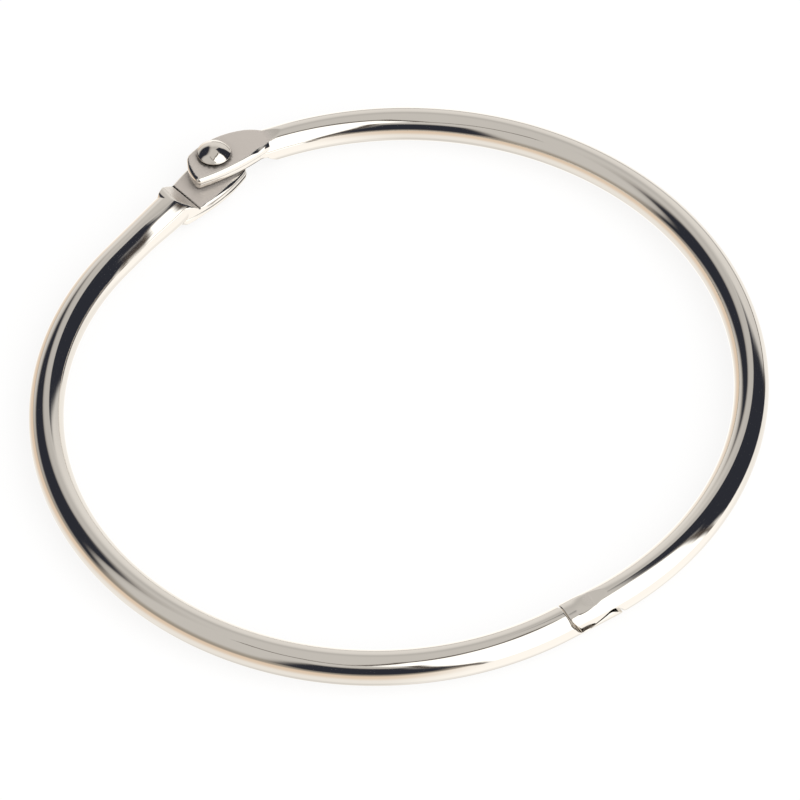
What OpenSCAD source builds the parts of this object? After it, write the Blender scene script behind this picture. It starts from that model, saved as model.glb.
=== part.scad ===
// Hinged binder ring for punched sheets, the size sold as 3 inch.
// Two half rings of round wire are flattened into leaves at one end and riveted there,
// one leaf over the other. At the other end each wire is cut to the same hook, and the
// two hooks lie in each other when the ring is shut.
// Origin: midway between rivet and clasp, in the middle plane of the wire.
// +Z runs along the rivet to its head, +Y runs from the clasp to the rivet.

/* [Ring] */
// Distance from the rivet's axis to the middle of the clasp
pin_to_clasp = 77.6; // [60:0.1:120]
// Diameter of the wire
wire_d = 3.9; // [3.2:0.1:4.8]

/* [Right half] */
// Straight wire from the middle of the clasp to the bend
right_clasp_run = 1.2; // [0:0.1:6]
// Straight run from the rivet to the bend
right_hinge_run = 4.5; // [2:0.1:24]

/* [Left half] */
// Straight wire from the middle of the clasp to the bend
left_clasp_run = 3.8; // [0:0.1:6]
// Straight run from the rivet to the bend
left_hinge_run = 18.5; // [2:0.1:24]

/* [Leaves] */
// Gap between the two leaves
leaf_gap = 0.12; // [0.1:0.01:0.3]
// How far a leaf's flat face lies below the top of the wire
leaf_sink = 0.25; // [0.1:0.01:0.4]
// Length over which that face runs out along the wire
face_run = 2.1; // [1:0.1:5]
// Steepness of both shoulders
shoulder_angle = 41; // [30:1:60]

// How far the spread wire's face slopes down towards the inside of the ring
spread_tilt = 9; // [0:1:15]
// How far it slopes down towards the outside
spread_tilt_out = 35; // [20:1:45]

/* [Right leaf] */
// Widest part, from the rivet's axis to the inner edge
right_inner = 2.75; // [2.5:0.05:4.2]
// Radius of the inner edge
right_inner_r = 27; // [9:0.5:60]
// Widest part, from the rivet's axis to the outer edge
right_outer = 2.6; // [2.2:0.05:3.4]
// Radius of the outer edge
right_outer_r = 9.5; // [8:0.5:60]
// Reach of the rounded end past the rivet's axis
right_end = 3.55; // [2.6:0.05:4]
// Distance from the rivet's axis to the foot of the shoulder
right_foot = 5.9; // [4.8:0.1:6.5]
// Distance from that foot to where the plain wire starts
right_flare = 0.7; // [0.5:0.1:4]
// Steepness of the cone in which the wire spreads into the leaf
right_spread = 22; // [20:1:55]

/* [Left leaf] */
// Widest part, from the rivet's axis to the inner edge
left_inner = 3.45; // [2.5:0.05:4.2]
// Radius of the inner edge
left_inner_r = 19; // [9:0.5:60]
// Widest part, from the rivet's axis to the outer edge
left_outer = 2.35; // [2.2:0.05:3.4]
// Radius of the outer edge
left_outer_r = 30; // [8:0.5:60]
// Reach of the rounded end past the rivet's axis
left_end = 2.6; // [2.4:0.05:4]
// Distance from the rivet's axis to the foot of the shoulder
left_foot = 5.8; // [4.8:0.1:6.5]
// Distance from that foot to where the plain wire starts
left_flare = 3.1; // [0.5:0.1:4]
// Steepness of the cone in which the wire spreads into the leaf
left_spread = 45; // [20:1:55]
// How far the shoulder is turned from square
left_skew = 12; // [0:1:15]

/* [Rivet] */
// Diameter of the shank
shank_d = 2.1; // [1.6:0.05:2.4]
// Radial play of the shank in both leaves
shank_play = 0.06; // [0.03:0.01:0.1]
// Diameter of the domed head
head_d = 3.95; // [3.2:0.05:4.4]
// Height of the domed head
head_h = 1.3; // [0.8:0.05:1.8]
// Diameter of the peened tail
tail_d = 2.6; // [2.5:0.05:3.6]
// Height of the peened tail
tail_h = 0.95; // [0.5:0.05:1.3]
// Play under the head and over the tail
end_play = 0.05; // [0.03:0.01:0.1]

/* [Clasp] */
// Half of the clasp's length
hook_reach = 3.4; // [3:0.1:4.5]
// Radius of the hook's round nose
hook_r = 1.25; // [1.0:0.05:1.4]
// Distance of each nose from the middle of the clasp
hook_x = 1.55; // [1.3:0.05:1.7]
// How far each nose dips past the middle of the wire
hook_dip = 0.4; // [0.3:0.05:0.6]
// Height above the middle of the wire where the end face turns inward
hook_end_z = 1.2; // [0.9:0.05:1.5]
// Gap between the two hooks
hook_gap = 0.2; // [0.1:0.02:0.3]
// How much wider the round notch is than the nose that lies in it
notch_play = 0.15; // [0:0.05:0.3]
// Length of the flat pressed on top of the right hook
press_len = 4.4; // [3:0.1:4.4]
// Depth of that flat at the hook's end; from there it runs out along the wire
press_depth = 0.22; // [0.1:0.02:0.4]

/* [Hidden] */
$fn = 96;
wire_r = wire_d / 2;
pin_y = pin_to_clasp / 2;
far = 4 * wire_r;                       // reach of cutting tools past the wire
over = 0.02;                            // overlap where cutters and blocks pass a face
face_z = wire_r - leaf_sink;            // flat outer face of each leaf
hole_r = shank_d / 2 + shank_play;
bend_step = 0.002;                      // the bend stands this proud of the straight runs
cap_rim = 0.15;                         // straight rim below each dome of the rivet
// A leaf: inner edge, outer edge and end, each as [reach, radius, place of its middle].
// The first two places are along the leaf, the last is across it.
right_leaf = [[right_inner, right_inner_r, -1.7], [right_outer, right_outer_r, 1.9],
    [right_end, 5.65, -1.4]];
left_leaf = [[left_inner, left_inner_r, 0.9], [left_outer, left_outer_r, 2],
    [left_end, 4.8, -0.6]];
nickel = [0.80, 0.79, 0.77];
steel = [0.74, 0.73, 0.71];

// Each half is drawn on the right, with its leaf on top. Its bend touches the straight
// wire at the clasp and the straight run at the rivet, which settles its radius.
function bend_r(clasp_run, hinge_run) =
    (pin_to_clasp ^ 2 + clasp_run ^ 2 - hinge_run ^ 2) / (2 * pin_to_clasp);
// Direction in which the leaf and its straight run leave the rivet
function run_angle(r, clasp_run, hinge_run) =
    atan2(pin_to_clasp - r, -clasp_run) - atan2(hinge_run, r) - 90;

// Wire of one half: straight at the clasp, bent, straight to the rivet
module bent_wire(clasp_run, hinge_run) {
    r = bend_r(clasp_run, hinge_run);
    a = run_angle(r, clasp_run, hinge_run);
    translate([-hook_reach - 1, -pin_y, 0])
        rotate([0, 90, 0]) cylinder(r = wire_r, h = hook_reach + 1 + clasp_run);
    translate([clasp_run, r - pin_y, 0])
        rotate([0, 0, -90]) rotate_extrude(angle = a + 180, $fn = 180)
            translate([r, 0]) circle(r = wire_r + bend_step, $fn = 64);
    at_pin(a) rotate([0, 90, 0]) cylinder(r = wire_r, h = hinge_run);
}

// Puts children on the rivet's axis, with X along the leaf
module at_pin(a) {
    translate([0, pin_y, 0]) rotate([0, 0, a]) children();
}

// Puts children on the wire's own axis at distance s from the rivet, with X along the wire
module at_wire(s, clasp_run, hinge_run) {
    r = bend_r(clasp_run, hinge_run);
    a = run_angle(r, clasp_run, hinge_run);
    if (s < hinge_run)
        at_pin(a) translate([s, 0, 0]) children();
    else
        translate([clasp_run, r - pin_y, 0]) rotate([0, 0, a - (s - hinge_run) / r * 180 / PI])
            translate([0, r, 0]) children();
}

// Plan of a leaf: two long arcs and a rounded end
module leaf_plan(leaf) {
    inner = leaf[0];
    outer = leaf[1];
    end = leaf[2];
    intersection() {
        translate([inner[2], inner[1] - inner[0]]) circle(r = inner[1], $fn = 180);
        translate([outer[2], outer[0] - outer[1]]) circle(r = outer[1], $fn = 180);
        union() {
            translate([end[1] - end[0], end[2]]) circle(r = end[1]);
            translate([end[1] - end[0], -far]) square([5 * far, 2 * far]);
        }
    }
}

// Block that the leaf and its shoulder are cut from
module leaf_block(leaf) {
    translate([0, 0, -wire_r - over]) linear_extrude(2 * (wire_r + over)) leaf_plan(leaf);
}

// Cone in which the wire spreads towards the leaf. It starts at x = 0 and opens along -X.
module spread_cone(angle) {
    steep = tan(angle);
    reach = 2 * far;
    lap = 0.5;                          // the cone ends inside the wire
    translate([-reach, 0, 0]) rotate([0, 90, 0])
        cylinder(r1 = wire_r + reach * steep, r2 = wire_r - lap * steep, h = reach + lap);
}

// Everything above two sloping faces on the shoulder's side of the spread wire
module spread_faces() {
    intersection_for(tilt = [spread_tilt, -spread_tilt_out])
        rotate([tilt, 0, 0]) translate([-3 * far, -2 * far, -wire_r - over])
            cube([4 * far, 4 * far, 4 * far]);
}

// Everything below the leaf, up to the shoulder's slope
module under_leaf(foot, skew) {
    run = (wire_r + 1) / tan(shoulder_angle);
    translate([foot, 0, 0]) rotate([0, 0, skew]) rotate([90, 0, 0])
        translate([0, 0, -far]) linear_extrude(2 * far)
            polygon([[-2 * far, leaf_gap / 2], [0, leaf_gap / 2],
                [run, leaf_gap / 2 - wire_r - 1], [-2 * far, leaf_gap / 2 - wire_r - 1]]);
}

// Everything above the leaf's flat face, which runs out slowly along the wire
module over_leaf(flare) {
    rotate([90, 0, 0]) translate([0, 0, -far]) linear_extrude(2 * far)
        polygon([[-2 * far, face_z], [flare, face_z], [flare + face_run, wire_r + over],
            [flare + face_run, far], [-2 * far, far]]);
}

// Side view of the cut that leaves the right hook: down its end, round its nose, up the
// flank, round the notch for the other nose and down past the other end.
function hook_line() = let (
    c = [-hook_x, hook_r - hook_dip],
    end = [-hook_reach, hook_end_z],
    notch_r = hook_r + notch_play,
    flank = atan2(-c[1], hook_x) - acos((hook_r + notch_r) / 2 / norm(c)) + 360,
    nose = arc(c, hook_r, start_angle(c, hook_r, end), flank),
    notch = arc(c, notch_r, start_angle(c, notch_r, end), flank)
) concat([[-hook_reach, far], end], nose,
    [for (i = [len(notch) - 1 : -1 : 0]) -notch[i]], [-end, [hook_reach, -far]]);

// Direction from centre c to the point where a line from end touches the circle
function start_angle(c, r, end) =
    atan2(end[1] - c[1], end[0] - c[0]) + acos(r / norm(end - c));

function arc(c, r, from, to, steps = 14) =
    [for (i = [0 : steps]) let (a = from + (to - from) * i / steps) c + r * [cos(a), sin(a)]];

// What is taken off the wire to leave the right hook
module hook_cut() {
    translate([0, -pin_y, 0]) rotate([90, 0, 0]) translate([0, 0, -far])
        linear_extrude(2 * far) translate([hook_gap / 2, hook_gap / 2])
            polygon(concat([[-hook_reach - far, -far], [-hook_reach - far, far]], hook_line()));
}

// Flat pressed on top of the hook, deepest at its end
module press_flat() {
    angle = atan(press_depth / press_len);
    translate([press_len - hook_reach, -pin_y - far, wire_r]) rotate([0, -180 - angle, 0])
        translate([-over, 0, -far]) cube([press_len + 2, 2 * far, far]);
}

// One half ring, drawn on the right with its leaf on top
module half_ring(clasp_run, hinge_run, leaf, foot, flare, spread, skew) {
    a = run_angle(bend_r(clasp_run, hinge_run), clasp_run, hinge_run);
    difference() {
        union() {
            bent_wire(clasp_run, hinge_run);
            intersection() {
                at_pin(a) leaf_block(leaf);
                at_wire(flare, clasp_run, hinge_run) spread_cone(spread);
                at_wire(flare, clasp_run, hinge_run) spread_faces();
            }
        }
        at_pin(a) under_leaf(foot, skew);
        at_pin(a) over_leaf(flare);
        translate([0, pin_y, -far]) cylinder(r = hole_r, h = 2 * far);
        hook_cut();
    }
}

module right_half() {
    color(nickel) difference() {
        half_ring(right_clasp_run, right_hinge_run, right_leaf, right_foot,
            right_foot + right_flare, right_spread, 0);
        press_flat();
    }
}

module left_half() {
    color(nickel) rotate([0, 180, 0])
        half_ring(left_clasp_run, left_hinge_run, left_leaf, left_foot,
            left_foot + left_flare, left_spread, left_skew);
}

// Rivet: domed head on the upper leaf, shank through both, peened tail below
module rivet() {
    head_z = face_z + end_play;
    color(steel) translate([0, pin_y, 0]) {
        cap(head_d, head_h, head_z);
        translate([0, 0, -head_z - cap_rim])
            cylinder(d = shank_d, h = 2 * (head_z + cap_rim));
        rotate([0, 180, 0]) cap(tail_d, tail_h, head_z);
    }
}

// Shallow dome of diameter d and height h that stands on a thin rim at height z
module cap(d, h, z) {
    dome_r = ((d / 2) ^ 2 + (h - cap_rim) ^ 2) / (2 * (h - cap_rim));
    translate([0, 0, z]) rotate_extrude() intersection() {
        translate([0, h - dome_r]) circle(r = dome_r);
        square([d / 2, h]);
    }
}

left_half();
right_half();
rivet();
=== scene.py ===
# %% [markdown]
# # A hinged binder ring
#
# The ring is three pieces of nickel-plated steel: two half rings of round wire and the
# rivet that joins their flattened ends. The other two ends are cut to the same hook and lie
# in each other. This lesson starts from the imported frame, which says where every piece
# belongs. It models the three pieces with rounded edges, plates them, and lays them in a
# pale studio. Everything is in metres once it is finished. The modelling itself is done in
# millimetres, because Blender's tools have tolerances that suit sizes near one.

# %% Load the frame
import bpy
import math
import numpy as np
from mathutils import Vector, Matrix


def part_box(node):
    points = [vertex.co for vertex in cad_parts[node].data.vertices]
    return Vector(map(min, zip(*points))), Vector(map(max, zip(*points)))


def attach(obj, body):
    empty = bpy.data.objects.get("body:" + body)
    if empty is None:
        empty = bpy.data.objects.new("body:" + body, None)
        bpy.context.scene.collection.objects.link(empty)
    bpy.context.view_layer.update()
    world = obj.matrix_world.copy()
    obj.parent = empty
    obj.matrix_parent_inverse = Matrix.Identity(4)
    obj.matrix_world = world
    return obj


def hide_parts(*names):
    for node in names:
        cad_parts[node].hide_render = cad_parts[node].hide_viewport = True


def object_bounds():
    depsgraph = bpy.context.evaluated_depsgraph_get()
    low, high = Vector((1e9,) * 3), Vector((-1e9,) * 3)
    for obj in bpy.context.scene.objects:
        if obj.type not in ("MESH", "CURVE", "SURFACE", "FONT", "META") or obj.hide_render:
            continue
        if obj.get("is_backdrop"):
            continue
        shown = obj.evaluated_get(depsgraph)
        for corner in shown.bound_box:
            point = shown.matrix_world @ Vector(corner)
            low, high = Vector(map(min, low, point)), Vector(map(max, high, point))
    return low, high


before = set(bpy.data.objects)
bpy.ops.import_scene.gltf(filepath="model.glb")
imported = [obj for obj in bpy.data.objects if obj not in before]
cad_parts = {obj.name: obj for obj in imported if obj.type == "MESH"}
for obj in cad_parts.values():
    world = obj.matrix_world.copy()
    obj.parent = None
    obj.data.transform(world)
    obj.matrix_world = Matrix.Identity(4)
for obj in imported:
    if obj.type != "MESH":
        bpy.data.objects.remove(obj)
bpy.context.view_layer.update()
bpy.ops.object.select_all(action="DESELECT")
MM = 0.001
pin_low, pin_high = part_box("rivet")
pin_y = (pin_low[1] + pin_high[1]) / 2 / MM       # the rivet's axis stands at x = 0
print("frame", sorted(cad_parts), "rivet at", round(pin_y, 3), "mm")

# %% [markdown]
# ## The sizes of a half ring
#
# Each half is drawn as if it lay on the right with its leaf on top, the way the frame does
# it, and the left one is turned over at the end. The wire is straight at the clasp, bent to
# one radius, and straight again where it runs into the leaf. The bend has to touch both
# straight runs, so its radius follows from them. Each edge of a leaf is an arc, given by how
# far out it lies, its radius, and where its middle is: along the leaf for the two sides,
# across it for the end.

# %% Sizes of the wire and of both leaves
WIRE_R = 1.95
LEAF_GAP = 0.12
FACE_Z = WIRE_R - 0.25            # the leaf's flat outer face
FACE_RUN = 2.1                    # length over which that face runs out
SHOULDER = math.radians(41)
HOLE_R = 1.11
SPREAD_TILTS = (9, -35)           # slopes of the spread wire's two lower faces

RIGHT = dict(clasp_run=1.2, hinge_run=4.5, inner=(2.75, 27, -1.7), outer=(2.6, 9.5, 1.9),
             end=(3.55, 5.65, -1.4), foot=5.9, flare=0.7, spread=22, skew=0, swell=0,
             pressed=True)
LEFT = dict(clasp_run=3.8, hinge_run=18.5, inner=(3.45, 19, 0.9), outer=(2.35, 30, 2),
            end=(2.6, 4.8, -0.6), foot=5.8, flare=3.1, spread=45, skew=12, swell=0.3,
            pressed=False)


def bend(half):
    """Radius of the bend, and direction in which the leaf leaves the rivet."""
    across = 2 * pin_y
    radius = (across ** 2 + half["clasp_run"] ** 2 - half["hinge_run"] ** 2) / (2 * across)
    turn = (math.atan2(across - radius, -half["clasp_run"])
            - math.atan2(half["hinge_run"], radius) - math.pi / 2)
    return radius, turn


for name, half in (("right", RIGHT), ("left", LEFT)):
    print(name, "half: bend %.2f mm, leaf at %.1f degrees"
          % (bend(half)[0], math.degrees(bend(half)[1])))

# %% [markdown]
# ## Walking along the wire
#
# A place on the wire is given by how far it is from the rivet, measured along the wire.
# This helper turns that distance into a point, the direction of the wire there, and the
# direction out of the ring.


# %% Point, direction and outward direction at a distance along the wire
def stations(half, s):
    radius, turn = bend(half)
    arc_end = half["hinge_run"] + radius * (turn + math.pi)
    beta = turn - np.clip(s - half["hinge_run"], 0, arc_end - half["hinge_run"]) / radius
    along = np.stack([np.cos(beta), np.sin(beta), 0 * s], -1)
    out = np.stack([-np.sin(beta), np.cos(beta), 0 * s], -1)
    centre = np.array([half["clasp_run"], radius - pin_y, 0])
    point = centre + radius * out
    point = point + np.minimum(s - half["hinge_run"], 0)[..., None] * along
    point = point + np.maximum(s - arc_end, 0)[..., None] * along
    return point, along, out


def wire_length(half):
    """Distance along the wire from the rivet to the middle of the clasp."""
    radius, turn = bend(half)
    return half["hinge_run"] + radius * (turn + math.pi) + half["clasp_run"]


print("wire from rivet to clasp: right %.1f, left %.1f mm"
      % (wire_length(RIGHT), wire_length(LEFT)))

# %% [markdown]
# ## The dies
#
# On the real ring the leaf and the hook are made in a press: dies squeeze and shear the
# round wire, and tumbling and plating round every edge a little. The dies are written here
# as distances: a number for each point in space, negative inside the metal and positive
# outside. Two distances are cut or joined by taking the larger or the smaller, and a
# rounded edge comes from the same step with a radius. Boolean cuts and a Bevel would do it
# too, but a bevel folds where it crosses the fine facets of the round wire, and bright
# metal shows every fold.


# %% Rounded cuts and joins
def cut(a, b, radius):
    """What lies in both a and b, with the edge between them rounded."""
    reach = np.hypot(np.maximum(radius + a, 0), np.maximum(radius + b, 0))
    return np.minimum(-radius, np.maximum(a, b)) + reach


def join(a, b, radius):
    """What lies in a or b, with the inner corner between them filled."""
    return -cut(-a, -b, radius)


def ease(low, high, value):
    """0 below low, 1 above high, with a smooth step between them."""
    t = np.clip((value - low) / (high - low), 0, 1)
    return t * t * (3 - 2 * t)


# %% [markdown]
# The two hooks meet on one line, seen from the side: down the hook's end, round its nose,
# up the flank and round the notch for the other nose. It is the same line turned half
# round, so both hooks fit each other.

# %% The hook's line
HOOK_REACH, HOOK_R, HOOK_X, HOOK_DIP, HOOK_END = 3.4, 1.25, 1.55, 0.4, 1.2
HOOK_GAP = 0.1                    # half of the gap between the two hooks
NOTCH_R = HOOK_R + 0.15


def hook_line():
    """Places along the wire and heights of the line below the hook."""
    centre = np.array([-HOOK_X, HOOK_R - HOOK_DIP])
    end = np.array([-HOOK_REACH, HOOK_END])

    def arc(radius, stop):
        to_end = end - centre
        start = math.atan2(to_end[1], to_end[0]) + math.acos(radius / np.hypot(*to_end))
        if start < 0:
            start += 2 * math.pi
        turn = np.linspace(start, stop, 60)
        return centre + radius * np.stack([np.cos(turn), np.sin(turn)], -1)

    flank = (math.atan2(-centre[1], HOOK_X) + 2 * math.pi
             - math.acos((HOOK_R + NOTCH_R) / 2 / np.hypot(*centre)))
    nose, notch = arc(HOOK_R, flank), arc(NOTCH_R, flank)
    line = np.concatenate([[end], nose, -notch[::-1], [-end]]) + HOOK_GAP
    return line[np.argsort(line[:, 0], kind="stable")]


line = hook_line()
print("hook from %.2f to %.2f mm, nose down to %.2f mm"
      % (line[0, 0], line[-1, 0], line[:60, 1].min()))


# %% [markdown]
# ## The metal of one half
#
# First the wire as it comes from bending. The left one swells a little on its inner side
# before it spreads, as a press can leave it. A taper drawn along the wire would do it too.
# As a distance it is one more term, and it fades at both ends.

# %% The round wire, as a distance
SWELL_FROM, SWELL_FULL = 15, 8    # distances from the rivet


def leaf_frame(half, point):
    """Places along the leaf and across it, seen from the rivet."""
    turn = bend(half)[1]
    x, y = point[..., 0], point[..., 1] - pin_y
    return x * math.cos(turn) + y * math.sin(turn), -x * math.sin(turn) + y * math.cos(turn)


def round_wire(half, point):
    """The run into the leaf, the bend, and the run to the clasp."""
    x, y, z = point[..., 0], point[..., 1], point[..., 2]
    radius, turn = bend(half)
    leaf_x, leaf_y = leaf_frame(half, point)
    from_x, from_y = x - half["clasp_run"], y - (radius - pin_y)
    run = half["hinge_run"]
    wire = np.sqrt((leaf_x - np.clip(leaf_x, 0, run)) ** 2 + leaf_y ** 2 + z ** 2)
    in_bend = from_x * math.cos(turn) + from_y * math.sin(turn) > 0
    in_bend &= from_x > 0
    ring = np.hypot(np.hypot(from_x, from_y) - radius, z)
    wire = np.where(in_bend, np.minimum(wire, ring), wire)
    clasp_x = x - np.minimum(x, half["clasp_run"])
    wire = np.minimum(wire, np.sqrt(clasp_x ** 2 + (y + pin_y) ** 2 + z ** 2)) - WIRE_R
    swell = ease(SWELL_FROM, SWELL_FULL, leaf_x) * ease(-0.3, 1.2, -leaf_y)
    return wire - half["swell"] * swell


print("on the rivet's axis the round wire is %.2f mm deep"
      % -round_wire(RIGHT, np.array([0, pin_y, 0])))

# %% [markdown]
# The wire spreads in a cone towards the leaf, between two sloping faces. The leaf's plan is
# two long arcs and a rounded end. A trimming die cuts its wall: the upper part is sheared
# bright, then the metal tears, and the rest is set back a little. The inner edge bulges a
# little further than the two arcs.

# %% Plan of the leaf and the spread wire
TEAR_Z, TEAR_HALF = 0.95, 0.055   # height at which the trimmed wall tears
INNER_BULGE, TORN_STEP, TEAR_DEPTH = 0.12, 0.05, 0.07
PLAN_CORNER = 0.3


def inner_side(leaf_y):
    """1 on the side of the leaf that faces into the ring, 0 on the other."""
    return ease(0.6, -0.6, leaf_y)


def leaf_plan(half, leaf_x, leaf_y, z):
    """Distance from the leaf's outline, seen from above."""
    reach, edge_r, at = half["inner"]
    plan = np.hypot(leaf_x - at, leaf_y - (edge_r - reach)) - edge_r
    reach, edge_r, at = half["outer"]
    plan = cut(plan, np.hypot(leaf_x - at, leaf_y - (reach - edge_r)) - edge_r, PLAN_CORNER)
    reach, edge_r, at = half["end"]
    nose = np.hypot(np.minimum(leaf_x - (edge_r - reach), 0), leaf_y - at) - edge_r
    plan = cut(plan, nose, PLAN_CORNER)
    torn = ease(TEAR_Z + 0.06, TEAR_Z - 0.06, z)
    return (plan - INNER_BULGE * inner_side(leaf_y) + TORN_STEP * torn
            + TEAR_DEPTH * np.exp(-((z - TEAR_Z) / TEAR_HALF) ** 2))


def spread_wire(half, point, plan):
    """The cone in which the wire spreads, inside the leaf's plan."""
    x, y, z = point[..., 0], point[..., 1], point[..., 2]
    root, along, out = (v[0] for v in stations(half, np.array([half["foot"] + half["flare"]])))
    cone_x = (x - root[0]) * along[0] + (y - root[1]) * along[1]
    cone_y = (x - root[0]) * out[0] + (y - root[1]) * out[1]
    steep = math.radians(half["spread"])
    cone = (np.hypot(cone_y, z) - (WIRE_R - cone_x * math.tan(steep))) * math.cos(steep)
    cone = np.maximum(cone, cone_x - 0.5)
    faces = [cone_y * math.sin(math.radians(t)) - z * math.cos(math.radians(t)) - WIRE_R
             for t in SPREAD_TILTS]
    return cut(cut(plan, cone, 0.12), cut(faces[0], faces[1], 0.1), 0.08)


print("the leaf's nearest edge is about %.1f mm from the rivet's axis"
      % -leaf_plan(RIGHT, 0.0, 0.0, 1.5))

# %% [markdown]
# At the other end the hook's line is cut, and on the right half the hook is pressed flat on
# top. The flat meets the wire at a very low angle. A rounded cut would thin the wire there
# over a long way, so the two are blended, which takes off 0.075 mm at most.

# %% The hook, cut and pressed
HOOK_EDGE = 0.14
PRESS_SLOPE, PRESS_START = 0.22 / 4.4, 1.0        # of the flat on the right hook
BLEND, BLEND_DEPTH = 0.3, 0.075


def hooked(half, solid, x, y, z):
    """The metal with its clasp end cut to a hook."""
    height = np.interp(x, line[:, 0], line[:, 1])
    slope = np.gradient(line[:, 1], line[:, 0] + 1e-9 * np.arange(len(line)))
    fall = np.cos(np.arctan(np.interp(x, line[:, 0], slope)))
    keep = np.minimum(line[-1, 0] - x, (height - z) * fall)
    keep = cut(line[0, 0] - x, keep, HOOK_EDGE / 2)
    solid = np.where(y < 0, cut(solid, keep, HOOK_EDGE), solid)
    if half["pressed"]:
        tilt = math.atan(PRESS_SLOPE)
        flat = (z - WIRE_R) * math.cos(tilt) - (x - PRESS_START) * math.sin(tilt)
        share = np.maximum(BLEND - np.abs(solid - flat), 0) / BLEND
        blended = np.maximum(solid, flat) + BLEND_DEPTH * share ** 2
        solid = np.where(y < 0, blended, solid)
    return solid


print("the flat is %.2f mm deep at the hook's end" % ((PRESS_START - line[0, 0]) * PRESS_SLOPE))

# %% [markdown]
# Shade is painted dark into the colour where light hardly reaches: at the foot of the upper
# leaf's wall, under the rim of the lower leaf, on the torn line, in the groove at the
# shoulder's foot and round the rivet's head. This painted shade could be drawn as lines on a
# map of the surface. Here it is worked out from the same distances as the shape, so it
# follows every edge.

# %% Where shade is painted
GROOVE_R = 0.10
HEAD_SHADE = (2.14, 2.0)          # from and full, as distances from the rivet's axis


def painted_shade_lines(half, leaf_x, leaf_y, z, plan, under, groove):
    """1 where shade is painted dark, 0 where the metal keeps its plain colour."""
    foot, flare = half["foot"], half["foot"] + half["flare"]
    # painted shade: dark lines in the gap between the leaves, on the torn line, in the groove
    # and round the head
    if half["pressed"]:
        wall_foot = ease(0.44, 0.34, z) * (z > 0)
    else:
        wall_foot = np.exp(-((z - 0.38) / 0.06) ** 2)
    wall_foot = wall_foot * ease(0.004, 0.02, np.abs(under)) * ease(foot - 0.2, foot - 1, leaf_x)
    tear = (np.exp(-((z - TEAR_Z) / 0.06) ** 2)
            * ease(0.1, 0.04, np.abs(plan)) * ease(flare, foot - 1, leaf_x))
    in_groove = ease(0.17, 0.09, groove) * (np.abs(leaf_y) < 3.4)
    head_shadow = 0.8 * ease(*HEAD_SHADE, np.hypot(leaf_x, leaf_y)) * (z > 1) * half["pressed"]
    return np.maximum.reduce([wall_foot, tear, in_groove, head_shadow])


print("dirt in the middle of the groove: %.1f"
      % painted_shade_lines(RIGHT, RIGHT["foot"], 0.0, LEAF_GAP / 2, -2.0, 0.0, 0.0))

# %% [markdown]
# Now everything is brought together. One die takes away what is under the leaf, up to the
# shoulder, and its corner leaves a fine groove along the shoulder's foot. Another presses
# the outer face flat. The edge radii are what is left to choose: large under the leaf, where
# the die drew the metal down, small at the shoulder and the hook. What a die has touched is
# noted as well, since its grain makes that surface satin.
#
# Known fault: the leaf's cuts aren't limited to the hinge end. On the right half they reach
# the clasp too, where they leave the hook flat below at z = 0.06 mm, where its nose should
# be round down to -0.3 mm, and flat on top at z = 1.7 mm. Cutting only where y > 0 would
# mend it.

# %% The metal of one half, as a distance
UNDER_EDGE, SHOULDER_EDGE, OVER_EDGE, INNER_EDGE_MORE = 0.34, 0.12, 0.26, 0.26
RUN_OUT_EDGE = 0.02


def metal(half, point):
    """Distance from the surface, distance from what a die struck, and painted shade."""
    x, y, z = point[..., 0], point[..., 1], point[..., 2]
    leaf_x, leaf_y = leaf_frame(half, point)
    foot, flare = half["foot"], half["foot"] + half["flare"]
    plan = leaf_plan(half, leaf_x, leaf_y, z)
    solid = np.minimum(round_wire(half, point), spread_wire(half, point, plan))

    # under the leaf, up to the shoulder
    skew = math.radians(half["skew"])
    back = (leaf_x - foot) * math.cos(skew) + leaf_y * math.sin(skew)
    low = z - LEAF_GAP / 2
    slope = back * math.sin(SHOULDER) + low * math.cos(SHOULDER)
    under = join(-low, -slope, 0.08)
    near_foot = ease(foot - 0.6, foot + 0.6, leaf_x)
    solid = cut(solid, under, UNDER_EDGE + (SHOULDER_EDGE - UNDER_EDGE) * near_foot)
    groove = np.hypot(back, low)
    solid = cut(solid, GROOVE_R - groove, 0.03)
    # the slope is brighter than the flat under the leaf
    struck = np.abs(under) + 0.011 * ease(0.10, 0.25, back)

    # the leaf's flat outer face, which runs out along the wire
    ramp = math.atan2(WIRE_R + 0.02 - FACE_Z, FACE_RUN)
    over = np.minimum(z - FACE_Z,
                      (z - FACE_Z) * math.cos(ramp) - (leaf_x - flare) * math.sin(ramp))
    struck = np.minimum(struck, np.abs(over) + 0.018 * ease(flare - 1, flare + 1.6, leaf_x))
    run_out = ease(foot - 1.5, flare, leaf_x)
    rim = OVER_EDGE + INNER_EDGE_MORE * inner_side(leaf_y)
    solid = cut(solid, over, rim + (RUN_OUT_EDGE - rim) * run_out)

    # painted shade where light hardly reaches: gaps between the leaves, the torn line, the
    # groove and round the head
    painted_shade = painted_shade_lines(half, leaf_x, leaf_y, z, plan, under, groove)
    return hooked(half, solid, x, y, z), struck, painted_shade


print("from the right leaf's surface: %.2f mm inside it, %.2f mm above it"
      % tuple(metal(RIGHT, np.array([0, pin_y, z]))[0] for z in (0.9, 2.7)))

# %% [markdown]
# ## Pressing the blank
#
# The blank is a straight tube: a circle, extruded once for each zone of the wire, with each
# zone subdivided as finely as its shape needs. Every ring of the tube is then carried to
# its place along the wire and pushed out, ray by ray, until it meets the metal's surface.
# The last rings at each end fan forward over the end face and close in one point. The
# points of a ring crowd together where it turns sharply, so that the rounded edges get
# most of them. Edit mode alone could taper and bevel the tube, but not hold a bevel steady
# where the leaf's plan, its flat faces and the shoulder all meet.

# %% Zones of the tube: from, to, number of rings
AROUND, RAYS, FAN = 128, 576, 60  # points of a ring, rays that look for them, rings that fan out
END_PAST_RIVET, END_PAST_CLASP = 1.0, 2.7
HOOK_ZONE = 5.2
RAY_REACH, HALVINGS = 7.0, 21
SHARE_OUT = 12                    # neighbours on each side that share their points out alike
POLE = math.radians(89)           # rings tilted further than this are the closing points


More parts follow.
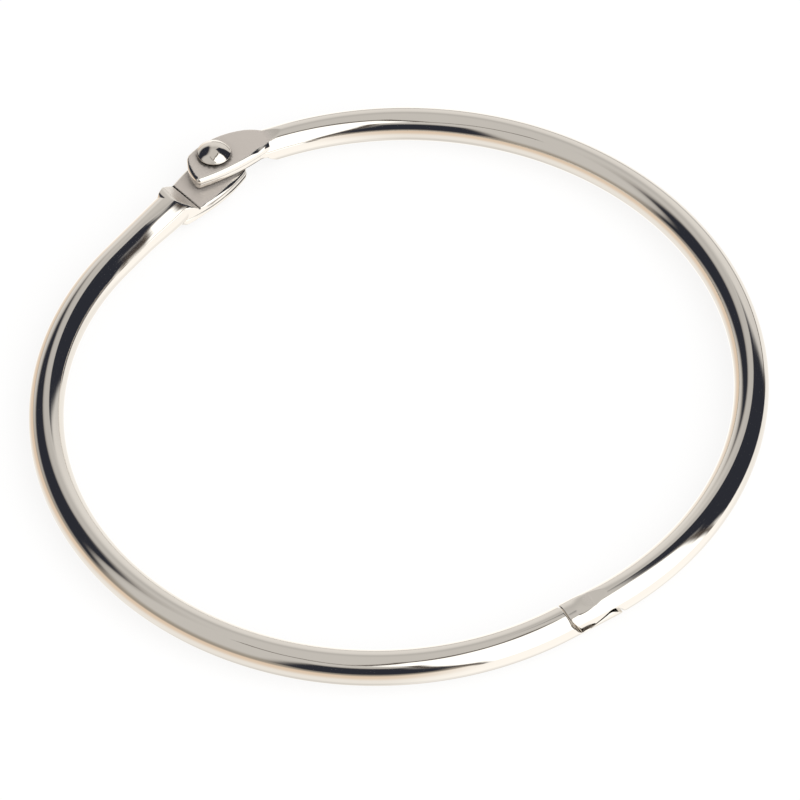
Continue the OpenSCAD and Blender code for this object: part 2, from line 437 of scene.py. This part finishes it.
def zones(half):
    """Stations of all rings as distance from the rivet, and how far each one fans out."""
    total = wire_length(half)
    leaf_end = half["foot"] + half["flare"] + 4.5
    parts = [(-END_PAST_RIVET, leaf_end, 150), (leaf_end, total - HOOK_ZONE, 110),
             (total - HOOK_ZONE, total + END_PAST_CLASP, 150)]
    fan = np.radians(np.linspace(90, 0, FAN + 1)[:-1])
    s = np.concatenate([np.full(FAN, -END_PAST_RIVET)]
                       + [np.linspace(a, b, n + 1)[:-1] for a, b, n in parts]
                       + [np.full(FAN + 1, total + END_PAST_CLASP)])
    tilt = np.concatenate([-fan, np.zeros(len(s) - 2 * FAN), fan[::-1]])
    return s, tilt


print("rings of the right half:", len(zones(RIGHT)[0]))


# %% Rings pushed out to the surface
def pressed_rings(half):
    s, tilt = zones(half)
    point, along, out = stations(half, s)
    total = wire_length(half)
    # height of the point from which the rays start
    leaf_z = 0.88 * (1 - ease(half["foot"] - 0.4, half["foot"] + 2.2, s))
    x = total - s
    low = np.interp(x, line[:, 0], line[:, 1])
    top = WIRE_R - (PRESS_SLOPE * np.maximum(1 - x, 0) if half["pressed"] else 0)
    hook_z = (low + top) / 2 * (1 - ease(3.3, 4.6, x))
    centre = point + np.array([0, 0, 1.0]) * (leaf_z + hook_z)[:, None]

    turn = np.linspace(-math.pi / 2, 1.5 * math.pi, RAYS, endpoint=False)
    flat = (np.cos(turn)[None, :, None] * out[:, None, :]
            + np.sin(turn)[None, :, None] * np.array([0, 0, 1.0]))
    pole = along * np.sign(tilt)[:, None]
    pole[tilt > 0] += np.array([0, 0, 0.45])      # towards the middle of the hook's end face
    pole /= np.maximum(np.linalg.norm(pole, axis=-1), 1e-9)[:, None]
    ray = (np.cos(tilt)[:, None, None] * flat
           + np.sin(np.abs(tilt))[:, None, None] * pole[:, None, :])
    ray /= np.linalg.norm(ray, axis=-1)[..., None]

    # halve each ray again and again until it ends on the surface
    near, far = np.zeros(ray.shape[:2]), np.full(ray.shape[:2], RAY_REACH)
    for _ in range(HALVINGS):
        middle = (near + far) / 2
        inside = metal(half, centre[:, None, :] + ray * middle[..., None])[0] < 0
        near, far = np.where(inside, middle, near), np.where(inside, far, middle)
    dense = centre[:, None, :] + ray * ((near + far) / 2)[..., None]

    # spread the ring's points by length and by turning
    ahead = np.roll(dense, -1, 1) - dense
    length = np.linalg.norm(ahead, axis=-1)
    unit = ahead / np.maximum(length, 1e-9)[..., None]
    bent = np.arccos(np.clip((unit * np.roll(unit, 1, 1)).sum(-1), -1, 1))
    bent = (bent + np.roll(bent, -1, 1)) / 2
    weight = length / (length.sum(1, keepdims=True) + 1e-9) + 1.2 * bent / (2 * math.pi)
    weight[np.abs(tilt) > POLE] = 1
    weight /= weight.sum(1, keepdims=True)
    # neighbouring rings share their points out alike, so no quad is drawn aslant
    padded = np.pad(weight, ((SHARE_OUT, SHARE_OUT), (0, 0)), "edge")
    weight = np.mean([padded[k:k + len(s)] for k in range(2 * SHARE_OUT + 1)], axis=0)
    rings = np.empty((len(s), AROUND, 3))
    for k in range(len(s)):
        if abs(tilt[k]) > POLE:
            rings[k] = dense[k, 0]
            continue
        walked = np.concatenate([[0], np.cumsum(weight[k])])
        want = np.arange(AROUND) / AROUND * walked[-1]
        closed = np.concatenate([dense[k], dense[k, :1]])
        rings[k] = np.stack([np.interp(want, walked, closed[:, i]) for i in range(3)], -1)
    # struck gives the satin finish; the third value is the shade painted into gaps and creases
    _, struck, painted_shade = metal(half, rings)
    return rings, {"satin": 1 - ease(0.004, 0.02, struck), "painted_shade": painted_shade}


# %% [markdown]
# The tube itself is made with a circle and the extrude and subdivide tools. The rings are
# found again by their place along the tube, and the points of a ring by their angle, so
# nothing depends on the order in which Blender makes them.

# %% A tube of rings, carried to its pressed shape
LENGTHS = 10


def points_of(mesh):
    """Places of a mesh's points, one row each."""
    place = np.empty(len(mesh.vertices) * 3, np.float32)
    mesh.vertices.foreach_get("co", place)
    return place.reshape(-1, 3)


def tube(name, rings, marks):
    bpy.ops.mesh.primitive_circle_add(vertices=AROUND, radius=1, rotation=(0, math.pi / 2, 0))
    piece = bpy.context.object
    piece.name = piece.data.name = name
    bpy.ops.object.transform_apply(rotation=True)
    # one subdivide makes at most 100 cuts, so the tube is drawn out in several lengths
    bpy.ops.object.mode_set(mode="EDIT")
    bpy.ops.mesh.select_mode(type="EDGE")
    bpy.ops.mesh.select_all(action="SELECT")
    step = (len(rings) - 1) // LENGTHS
    for _ in range(LENGTHS):
        bpy.ops.mesh.extrude_region_move(TRANSFORM_OT_translate={"value": (step, 0, 0)})
    bpy.ops.mesh.select_all(action="DESELECT")
    bpy.ops.object.mode_set(mode="OBJECT")
    for edge in piece.data.edges:
        a, b = (piece.data.vertices[i].co for i in edge.vertices)
        edge.select = abs(a.x - b.x) > 0.5
    bpy.ops.object.mode_set(mode="EDIT")
    bpy.ops.mesh.subdivide(number_cuts=step - 1)
    bpy.ops.object.mode_set(mode="OBJECT")

    place = points_of(piece.data)
    ring = np.rint(place[:, 0]).astype(int)
    spoke = np.arctan2(place[:, 2], place[:, 1]) / (2 * math.pi) * AROUND
    spoke = np.rint(spoke).astype(int) % AROUND
    print(name, "tube of", len(place), "points,", len(np.unique(ring)), "rings")
    piece.data.vertices.foreach_set("co", rings[ring, spoke].astype(np.float32).ravel())
    for mark, amount in marks.items():
        layer = piece.data.attributes.new(mark, "FLOAT", "POINT")
        layer.data.foreach_set("value", amount[ring, spoke].astype(np.float32))
    bpy.ops.object.mode_set(mode="EDIT")
    bpy.ops.mesh.select_all(action="SELECT")
    bpy.ops.mesh.remove_doubles(threshold=1e-4)
    bpy.ops.mesh.normals_make_consistent(inside=False)
    bpy.ops.object.mode_set(mode="OBJECT")
    return piece


# %% [markdown]
# The hole for the rivet is drilled with a Boolean, since it only meets flat faces. The left
# half is turned over, and both are brought from millimetres to metres.

# %% Drill, turn over and bring to size
TURNED = 96                       # sides of what is drilled or turned


def finish_half(piece, turned):
    bpy.ops.mesh.primitive_cylinder_add(vertices=TURNED, radius=HOLE_R, depth=8,
                                        location=(0, pin_y, 0))
    drill = bpy.context.object
    hole = piece.modifiers.new("hole", "BOOLEAN")
    hole.operation, hole.solver, hole.object = "DIFFERENCE", "EXACT", drill
    bpy.ops.object.select_all(action="DESELECT")
    bpy.context.view_layer.objects.active = piece
    piece.select_set(True)
    bpy.ops.object.modifier_apply(modifier="hole")
    bpy.data.objects.remove(drill)
    piece.scale = (MM, MM, MM)
    piece.rotation_euler = (0, math.pi if turned else 0, 0)
    bpy.ops.object.transform_apply(location=True, rotation=True, scale=True)
    bpy.ops.object.shade_smooth_by_angle(angle=math.radians(35))
    bpy.ops.object.select_all(action="DESELECT")
    print(piece.name, len(piece.data.polygons), "faces, size in mm",
          [round(d / MM, 2) for d in piece.dimensions])


right = tube("right_half_wire", *pressed_rings(RIGHT))
finish_half(right, turned=False)
left = tube("left_half_wire", *pressed_rings(LEFT))
finish_half(left, turned=True)

# %% [markdown]
# ## The rivet
#
# The rivet is turned: everything about it is round. Its outline is walked from the middle
# of the tail to the middle of the head, and at each step the last circle is extruded and
# resized, as on a lathe. A spin of the same outline would do too, but it needs its seam
# merged. A real head is struck, so a short upright wall stands under its round crown.

# %% Outline of the rivet: radius and height
HEAD_R, HEAD_H, HEAD_WALL = 1.975, 1.3, 0.44
TAIL_R, TAIL_H, TAIL_WALL = 1.3, 0.95, 0.30
SHANK_R = 1.05
RIM_EDGE = 0.07
SEAT_Z = FACE_Z + 0.05            # both caps stand just clear of the leaves


def cap_outline(r, h, wall):
    """Half outline of a struck cap from its seat: upright wall, tight rim, round crown."""
    rim = [(r - RIM_EDGE + RIM_EDGE * math.cos(t), wall + RIM_EDGE * math.sin(t))
           for t in np.radians(np.linspace(-60, 90, 8))]
    base, rise = r - RIM_EDGE, h - wall - RIM_EDGE
    ball = (base * base + rise * rise) / (2 * rise)
    crown = [(base * a, h - ball + math.sqrt(ball * ball - (base * a) ** 2))
             for a in np.linspace(1, 0, 36)[1:]]
    return [(r - 0.16, 0), (r - 0.13, wall - 0.12), (r - 0.12, wall - 0.08)] + rim + crown


head = [(r, SEAT_Z + z) for r, z in cap_outline(HEAD_R, HEAD_H, HEAD_WALL)]
tail = [(r, -SEAT_Z - z) for r, z in cap_outline(TAIL_R, TAIL_H, TAIL_WALL)]
outline = tail[::-1] + [(SHANK_R, -SEAT_Z), (SHANK_R, SEAT_Z)] + head
print("outline of", len(outline), "points")

# %% Turn it
first_r, first_z = 0.02, outline[0][1]
bpy.ops.mesh.primitive_circle_add(vertices=TURNED, radius=first_r, fill_type="NGON",
                                  location=(0, pin_y, first_z))
rivet = bpy.context.object
rivet.name = rivet.data.name = "rivet_struck"
bpy.ops.object.mode_set(mode="EDIT")
bpy.ops.mesh.select_all(action="SELECT")
r_now, z_now = first_r, first_z
for r, z in outline[1:]:
    r = max(r, first_r)
    bpy.ops.mesh.extrude_region_move(TRANSFORM_OT_translate={"value": (0, 0, z - z_now)})
    bpy.ops.transform.resize(value=(r / r_now, r / r_now, 1),
                             center_override=(0, pin_y, z))
    r_now, z_now = r, z
bpy.ops.mesh.select_all(action="SELECT")
bpy.ops.mesh.normals_make_consistent(inside=False)
bpy.ops.object.mode_set(mode="OBJECT")
# shade is painted dark on the wall under the rim of the head
height = points_of(rivet.data)[:, 2] + rivet.location.z
on_wall = (height > SEAT_Z - 0.01) & (height < SEAT_Z + HEAD_WALL - RIM_EDGE)
layer = rivet.data.attributes.new("painted_shade", "FLOAT", "POINT")
layer.data.foreach_set("value", on_wall.astype(np.float32))
rivet.scale = (MM, MM, MM)
rivet.location = [c * MM for c in rivet.location]
bpy.ops.object.transform_apply(location=True, rotation=True, scale=True)
bpy.ops.object.shade_smooth_by_angle(angle=math.radians(40))
bpy.ops.object.select_all(action="DESELECT")
print("rivet", len(rivet.data.polygons), "faces")

# %% Each piece rides on its body and stands for its node
for piece, node, slot in ((left, "left_half", "plated_wire"),
                          (right, "right_half", "plated_wire"),
                          (rivet, "rivet", "plated_rivet")):
    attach(piece, node)
    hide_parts(node)

# %% [markdown]
# ## Nickel plate
#
# Bright nickel is a mirror with a slightly warm tint. What shows is what it reflects, so
# the base colour is plain and the roughness does the rest. The plain wire is almost a
# mirror, a little uneven. The pressed leaves are satin, because the die printed its grain
# on them, so they are rougher and duller. Painted shade darkens the colour in the gaps,
# creases and recesses. Both come from attributes that were laid on the points while
# pressing. A painted image would do too, but attributes follow the shape without a map. A
# small class turns Python expressions on sockets into Math nodes, which keeps the recipes
# readable.


# %% Shader maths
class Sock:
    """A socket that takes part in Python expressions."""

    def __init__(self, tree, socket):
        self.tree, self.socket = tree, socket

    def node(self, kind, settings=None, **inputs):
        made = self.tree.nodes.new(kind)
        for key, value in (settings or {}).items():
            setattr(made, key, value)
        for key, value in inputs.items():
            key = int(key[1:]) if key[0] == "i" and key[1:].isdigit() else key.replace("_", " ")
            if isinstance(value, Sock):
                self.tree.links.new(value.socket, made.inputs[key])
            else:
                made.inputs[key].default_value = value
        return made

    def math(self, operation, a, b):
        made = self.node("ShaderNodeMath", {"operation": operation}, i0=a, i1=b)
        return Sock(self.tree, made.outputs[0])

    def mix(self, factor, a, b):
        """The colour a where factor is 0 and b where it is 1."""
        made = self.node("ShaderNodeMix", {"data_type": "RGBA"}, Factor=factor, i6=a, i7=b)
        return Sock(self.tree, made.outputs[2])

    def mark(self, name, output):
        """An attribute of the mesh."""
        made = self.node("ShaderNodeAttribute", {"attribute_name": name})
        return Sock(self.tree, made.outputs[output])

    def __add__(self, other):
        return self.math("ADD", self, other)

    def __sub__(self, other):
        return self.math("SUBTRACT", self, other)

    def __mul__(self, other):
        return self.math("MULTIPLY", self, other)

    def __radd__(self, other):
        return self.math("ADD", other, self)

    def __rsub__(self, other):
        return self.math("SUBTRACT", other, self)

    def __rmul__(self, other):
        return self.math("MULTIPLY", other, self)


# %% One plate for wire and rivet
SATIN_COLOUR = (0.585, 0.54, 0.50, 1)
# the next colour is the near black of the shade painted into gaps, creases and under the rivet's
# rim
PAINTED_SHADE_COLOUR = (0.035, 0.028, 0.022, 1)
TINT_SPREAD = 0.015
MOTTLE_SCALE, GRAIN_SCALE = 260.0, 6500.0         # cells to a metre


def plate(name, colour, wire_rough, leaf_rough):
    material = bpy.data.materials.new(name)
    material.use_nodes = True
    tree = material.node_tree
    shader = tree.nodes["Principled BSDF"]
    make = Sock(tree, None)
    place = Sock(tree, make.node("ShaderNodeTexCoord").outputs["Object"])
    pressed, painted_shade = make.mark("satin", "Fac"), make.mark("painted_shade", "Fac")
    # a soft mottle and the die's grain
    mottle = make.node("ShaderNodeTexNoise", Vector=place, Scale=MOTTLE_SCALE, Detail=3.0)
    mottle = Sock(tree, mottle.outputs[0])
    grain = make.node("ShaderNodeTexNoise", Vector=place, Scale=GRAIN_SCALE, Detail=2.0)
    grain = Sock(tree, grain.outputs[0])
    rough = wire_rough * (0.6 + 0.8 * mottle)
    rough = rough + pressed * (leaf_rough - rough + 0.12 * (grain - 0.5))
    tree.links.new(rough.socket, shader.inputs["Roughness"])
    tint = make.mix(mottle, (*[c * (1 - TINT_SPREAD) for c in colour], 1),
                    (*[c * (1 + TINT_SPREAD) for c in colour], 1))
    dull = make.mix(pressed, tint, SATIN_COLOUR)
    # painted shade: the colour darkens to near black along the shade mark
    shaded = make.mix(painted_shade * 0.93, dull, PAINTED_SHADE_COLOUR)
    tree.links.new(shaded.socket, shader.inputs["Base Color"])
    tree.links.new((1 - pressed * 0.55).socket, shader.inputs["Metallic"])
    bump = make.node("ShaderNodeBump", Strength=0.12, Distance=0.00002, Height=pressed * grain)
    tree.links.new(bump.outputs[0], shader.inputs["Normal"])
    print("material", name, len(tree.nodes), "nodes")
    return material


wire_plate = plate("nickel_wire", (0.80, 0.765, 0.72), 0.06, 0.45)
rivet_plate = plate("nickel_rivet", (0.78, 0.74, 0.69), 0.07, 0.07)
for piece, material in ((left, wire_plate), (right, wire_plate), (rivet, rivet_plate)):
    piece.data.materials.clear()
    piece.data.materials.append(material)

# %% [markdown]
# ## Camera
#
# A long lens looks down on the ring from the front left, at about fifty degrees, so the
# ring is an ellipse with its hinge at the top left.


# %% Aim helper and camera
def aim(location, target, roll=0.0):
    """Matrix of a camera or lamp at location that looks at target."""
    z = (location - target).normalized()
    x = Vector((0, 0, 1)).cross(z).normalized()
    turn = Matrix((x, z.cross(x), z)).transposed().to_4x4()
    return Matrix.Translation(location) @ turn @ Matrix.Rotation(roll, 4, "Z")


def direction(azimuth, elevation):
    """Unit vector towards an azimuth and an elevation in degrees."""
    a, e = math.radians(azimuth), math.radians(elevation)
    return Vector((math.cos(e) * math.cos(a), math.cos(e) * math.sin(a), math.sin(e)))


VIEW_TURN, VIEW_HEIGHT, VIEW_DISTANCE = -32.56, 49.615, 0.5348
target = Vector((-0.00127, -0.00297, 0))
LENS, ROLL = 216.37, -0.2367
lens = bpy.data.cameras.new("camera")
lens.lens, lens.sensor_width, lens.clip_start = LENS, 36, 0.01
camera = bpy.data.objects.new("camera", lens)
bpy.context.collection.objects.link(camera)
camera.matrix_world = aim(target + VIEW_DISTANCE * direction(VIEW_TURN - 90, VIEW_HEIGHT),
                          target, math.radians(ROLL))
bpy.context.scene.camera = camera
bpy.context.scene.view_settings.view_transform = "Standard"
print("camera at", [round(c, 4) for c in camera.location])

# %% [markdown]
# ## The room in the metal
#
# Bright metal shows its room, so the room is drawn first. It is one large sphere that only
# reflections see. Its upper half is a tent of pale cloth: a large white panel lights it from
# the right, three dark gaps give the wire its black bands, and a seam runs over the top. Its
# lower half stands for the table, which the wire shows white at the back and right, and tan
# to brown at the front left. The sphere is coloured point by point, from outlines given as
# directions, measured from the right of the view, anticlockwise, and upwards from the table.
# Cards that stand separately would do too, but their edges are all sharp, and the real
# bands fade.


# %% How far a direction lies inside an outline
def inside(azimuth, elevation, outline, soft):
    """1 inside the outline, 0 outside, fading over soft degrees."""
    turns = np.array([a for a, _ in outline], float)
    rise = np.array([e for _, e in outline], float)
    middle = (turns.min() + turns.max()) / 2
    azimuth = (azimuth - middle + 180) % 360 - 180 + middle
    near = np.full(azimuth.shape, 1e9)
    odd = np.zeros(azimuth.shape, bool)
    for k in range(len(outline)):
        ax, ay, bx, by = turns[k - 1], rise[k - 1], turns[k], rise[k]
        t = ((azimuth - ax) * (bx - ax) + (elevation - ay) * (by - ay))
        t = np.clip(t / ((bx - ax) ** 2 + (by - ay) ** 2), 0, 1)
        near = np.minimum(near, np.hypot(azimuth - ax - t * (bx - ax),
                                         elevation - ay - t * (by - ay)))
        crosses = (ay > elevation) != (by > elevation)
        at = ax + (elevation - ay) * (bx - ax) / (by - ay if by != ay else 1)
        odd ^= crosses & (azimuth < at)
    return ease(-soft / 2, soft / 2, np.where(odd, near, -near))


# %% The panel, the gaps and the seam: azimuth and elevation of their corners
PANEL = [(284, 52), (266, 61), (286, 74), (330, 76), (350, 75), (388, 69), (376, 58),
         (364, 44), (358, 34), (354, 20), (355, 4), (356, -9), (300, -9), (297, 8), (291, 20),
         (286, 36)]
PANEL_MIDDLE = (325, 35)
PANEL_FRAME = [(a + 6 * (a - PANEL_MIDDLE[0]) / 50,
                e + 5 * (e - PANEL_MIDDLE[1]) / 38 if e > 0 else e) for a, e in PANEL]
GAP_FAR_RIGHT = [(-5, 18), (-4, 28), (1, 35), (8, 43), (15, 54), (28, 63), (42, 66), (62, 63.5),
                 (80, 60), (74, 52), (70, 42), (58, 36), (50, 28), (43, 18), (39, 8), (37, -9),
                 (2, -9), (0, 6)]
GAP_FAR_LEFT = [(113, 30), (112, 42), (122, 50), (133, 57), (150, 59), (166, 57), (172, 50),
                (174, 40), (179, 28), (187, 18), (187, 8), (175, 10), (160, 13), (145, 15),
                (130, 20), (119, 27)]
GAP_NEAR = [(249, 44), (245, 30), (243, 12), (250, 7), (286, 7), (291, 16), (287, 24),
            (281, 34), (278, 44)]
SEAM = [(262, 62), (235, 68), (200, 70), (200, 67.5), (235, 65.5), (262, 59.5)]
FAR_EDGE = [(34, 1), (98, 1), (98, -3.5), (34, -3.5)]          # of the table, at the back
LOW_LEFT = [(150, -20), (150, 4), (190, 16), (300, 16), (300, -20)]
print("panel spans %d degrees" % (max(a for a, _ in PANEL) - min(a for a, _ in PANEL)))

# %% Colours of the cloth and of the table
DARK = np.array([0.030, 0.033, 0.045])
BROWN = np.array([0.16, 0.135, 0.115])
FRAME_TONE = np.array([0.10, 0.08, 0.065])
PANEL_TONE = np.array([1.55, 1.55, 1.52])
CLOTH_TINT = np.array([1.02, 0.995, 0.955])
PAPER_TONE = np.array([1.01, 0.985, 0.94])
TAN_TONE = np.array([0.90, 0.735, 0.58])
BRIM_TONE = np.array([0.48, 0.40, 0.33])


def away(azimuth, middle):
    """Degrees between two azimuths."""
    return np.abs((azimuth - middle + 180) % 360 - 180)


def mixed(colour, tone, share):
    return colour * (1 - share[:, None]) + tone * share[:, None]


def cloth_colour(azimuth, elevation):
    """Lighter at the back, darker and browner towards the table on the left."""
    back = ease(60, 20, away(azimuth, 90)) * ease(60, 20, elevation)
    band = ease(60, 25, away(azimuth, 90)) * np.exp(-((elevation - 48) / 8) ** 2)
    cloth = 0.66 + 0.2 * back - 0.12 * band
    low_left = inside(azimuth, elevation, LOW_LEFT, 22)[:, None]
    return cloth[:, None] * CLOTH_TINT * (1 - low_left * np.array([0.40, 0.44, 0.50]))


def table_colour(azimuth, elevation):
    """Bright at the back and right, tan at the front left and browner towards its brim."""
    bright = ease(115, 75, away(azimuth, 20))
    duller = ease(45, 22, away(azimuth, 48))
    table = PAPER_TONE + 0.24 * bright[:, None] - 0.2 * duller[:, None]
    table = table * (1 - 0.2 * ease(-55, -78, elevation))[:, None]
    table = mixed(table, TAN_TONE, ease(-42, -12, elevation) * (1 - bright))
    return mixed(table, BRIM_TONE, ease(-8, 1, elevation) * (1 - bright))


print("cloth overhead %.2f, table underfoot %.2f"
      % (cloth_colour(np.array([0.0]), np.array([90.0]))[0, 0],
         table_colour(np.array([0.0]), np.array([-90.0]))[0, 0]))

# %% The tent
TENT_R = 1.25
bpy.ops.mesh.primitive_uv_sphere_add(segments=240, ring_count=120, radius=TENT_R)
tent = bpy.context.object
tent.name = "tent"
place = points_of(tent.data)
azimuth = (np.degrees(np.arctan2(place[:, 1], place[:, 0])) - VIEW_TURN) % 360
elevation = np.degrees(np.arcsin(np.clip(place[:, 2] / TENT_R, -1, 1)))
colour = mixed(cloth_colour(azimuth, elevation), table_colour(azimuth, elevation),
               ease(1, -1, elevation))
# each outline with the degrees over which it fades, from the first laid to the last
for outline, soft, tone in ((GAP_FAR_LEFT, 30, BROWN), (GAP_NEAR, 18, BROWN),
                            (GAP_FAR_RIGHT, 5, DARK), (GAP_FAR_LEFT, 9, DARK),
                            (PANEL_FRAME, 3, FRAME_TONE), (PANEL, 3, PANEL_TONE),
                            (GAP_NEAR, 8, DARK), (SEAM, 2, BROWN * 0.8),
                            (FAR_EDGE, 2.5, BROWN * 0.7)):
    colour = mixed(colour, tone, inside(azimuth, elevation, outline, soft))
paint = tent.data.attributes.new("cloth", "FLOAT_COLOR", "POINT")
opaque = np.ones((len(colour), 1))
paint.data.foreach_set("color", np.concatenate([colour, opaque], 1).astype(np.float32).ravel())
print("tent of", len(place), "points")

# %% Its cloth glows, and only reflections see it
tent_cloth = bpy.data.materials.new("tent_cloth")
tent_cloth.use_nodes = True
tent_cloth.cycles.emission_sampling = "NONE"
tree = tent_cloth.node_tree
make = Sock(tree, None)
glow = make.node("ShaderNodeEmission", Color=make.mark("cloth", "Color"), Strength=1.0)
tree.links.new(glow.outputs[0], tree.nodes["Material Output"].inputs[0])
tent.data.materials.append(tent_cloth)
tent.visible_camera = tent.visible_diffuse = tent.visible_shadow = False
tent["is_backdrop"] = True
print("the tent's cloth has", len(tree.nodes), "nodes")

# %% [markdown]
# ## Light and table
#
# A softbox stands where the panel is and lights what is satin and the table. Reflections see
# the panel instead of it. The table is pale paper, almost white to the camera, and keeps the
# ring's shadow. Reflections don't see it, because the lower half of the tent stands for it:
# a flat white table would leave no tan or brown in the wire. The world gives a soft even
# light from all sides.


# %% Softbox
def softbox(azimuth, elevation, wide, tall, distance, radiance):
    """An area lamp that spans wide by tall degrees as the ring sees it."""
    lamp = bpy.data.lights.new("softbox_right", "AREA")
    lamp.shape = "RECTANGLE"
    lamp.size = 2 * distance * math.tan(math.radians(wide / 2))
    lamp.size_y = 2 * distance * math.tan(math.radians(tall / 2))
    lamp.energy = radiance * math.pi * lamp.size * lamp.size_y
    holder = bpy.data.objects.new("softbox_right", lamp)
    bpy.context.collection.objects.link(holder)
    holder.matrix_world = aim(direction(azimuth + VIEW_TURN, elevation) * distance,
                              Vector((0, 0, 0)))
    holder.visible_glossy = False
    print("softbox of %.2f by %.2f m, %.1f W" % (lamp.size, lamp.size_y, lamp.energy))


softbox(azimuth=318, elevation=33, wide=62, tall=76, distance=1.0, radiance=1.9)

# %% Table
def background_rays(make):
    """1 for rays that come from the camera, off gloss or through glass, 0 for the rest."""
    rays = make.node("ShaderNodeLightPath")
    seen = make.math("MAXIMUM", Sock(make.tree, rays.outputs["Is Camera Ray"]),
                     Sock(make.tree, rays.outputs["Is Glossy Ray"]))
    return make.math("MAXIMUM", seen, Sock(make.tree, rays.outputs["Is Transmission Ray"]))


table_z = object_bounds()[0][2]
bpy.ops.mesh.primitive_circle_add(vertices=128, radius=1.5, fill_type="NGON",
                                  location=(0, 0, table_z))
floor = bpy.context.object
floor.name = "floor"
paper = bpy.data.materials.new("paper")
paper.use_nodes = True
tree = paper.node_tree
shader = tree.nodes["Principled BSDF"]
shader.inputs["Base Color"].default_value = (0.92, 0.92, 0.92, 1)
shader.inputs["Roughness"].default_value = 0.9
shader.inputs["Specular IOR Level"].default_value = 0
make = Sock(tree, None)
white = make.node("ShaderNodeEmission", Color=(1, 1, 1, 1), Strength=1.0)
blend = make.node("ShaderNodeMixShader", i0=background_rays(make) * 0.8)
tree.links.new(shader.outputs[0], blend.inputs[1])
tree.links.new(white.outputs[0], blend.inputs[2])
tree.links.new(blend.outputs[0], tree.nodes["Material Output"].inputs[0])
floor.data.materials.append(paper)
floor.visible_glossy = False
floor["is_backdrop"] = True
print("table at z = %.2f mm" % (table_z / MM))

# %% World
WORLD_STRENGTH, WORLD_TINT = 0.87, (1.0, 0.98, 0.96, 1)
world = bpy.data.worlds.new("studio")
bpy.context.scene.world = world
world.use_nodes = True
sky = world.node_tree.nodes["Background"]
make = Sock(world.node_tree, None)
seen = background_rays(make)
tone = make.mix(seen, WORLD_TINT, (1, 1, 1, 1))
world.node_tree.links.new(tone.socket, sky.inputs[0])
strength = WORLD_STRENGTH + (1 - WORLD_STRENGTH) * seen
world.node_tree.links.new(strength.socket, sky.inputs[1])
print("world of strength", WORLD_STRENGTH)
